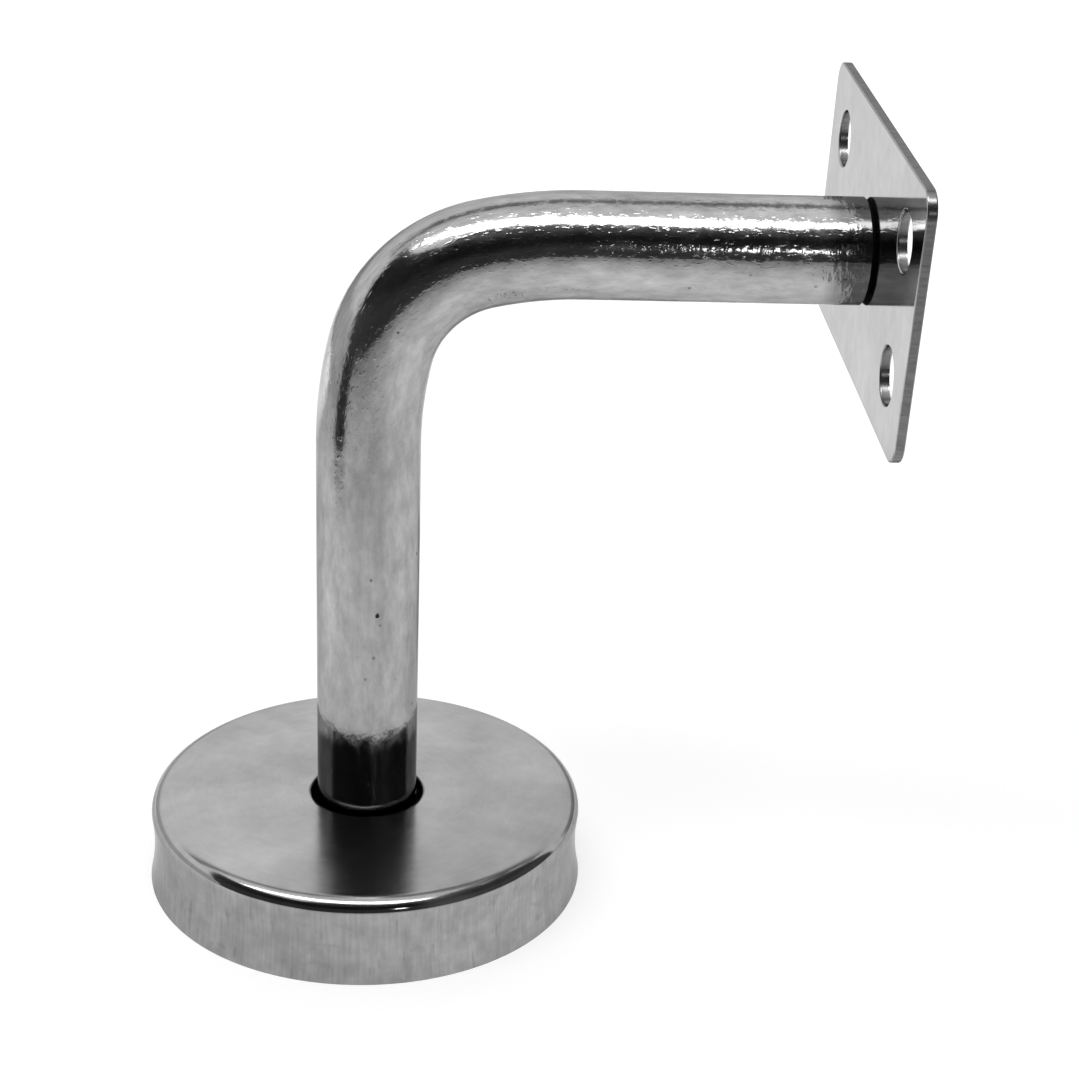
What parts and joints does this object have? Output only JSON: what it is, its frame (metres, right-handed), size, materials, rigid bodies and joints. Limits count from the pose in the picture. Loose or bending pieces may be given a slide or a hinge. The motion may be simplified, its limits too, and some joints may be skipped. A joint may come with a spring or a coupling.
{
  "type": "handrail bracket",
  "caption": "Wall handrail bracket: round bar with a right-angle bend, thin drilled rail plate at one end, wall flange under a sliding round cover at the other.",
  "frame": {"origin": "centre of the wall flange's back face, on the wall plane", "axes": "+Z away from the wall along the bar's first run, +X along the bar's second run towards the rail plate, Y along the handrail"},
  "size_m": [0.1095, 0.07, 0.1279],
  "materials": {
    "polished_bar": "hand-polished stainless steel with light pits and drag marks",
    "polished_sheet": "polished stainless steel sheet, soft mirror",
    "brushed_cover": "stainless steel drawn cup, satin-polished top and fine vertical lines on the side",
    "mill_steel": "unpolished stainless steel plate",
    "weld_metal": "ground or plain weld"
  },
  "bodies": {
    "bracket": {"arm": "polished_bar", "rail_plate": "polished_sheet", "plate_weld": "weld_metal", "wall_flange": "mill_steel", "flange_weld": "weld_metal"},
    "cover": {"cover": "brushed_cover"}
  },
  "joints": [
    {"name": "cover_slide", "type": "slide", "parent": "bracket", "child": "cover", "axis": [0, 0, 1], "range_m": [0, 0.058]}
  ]
}
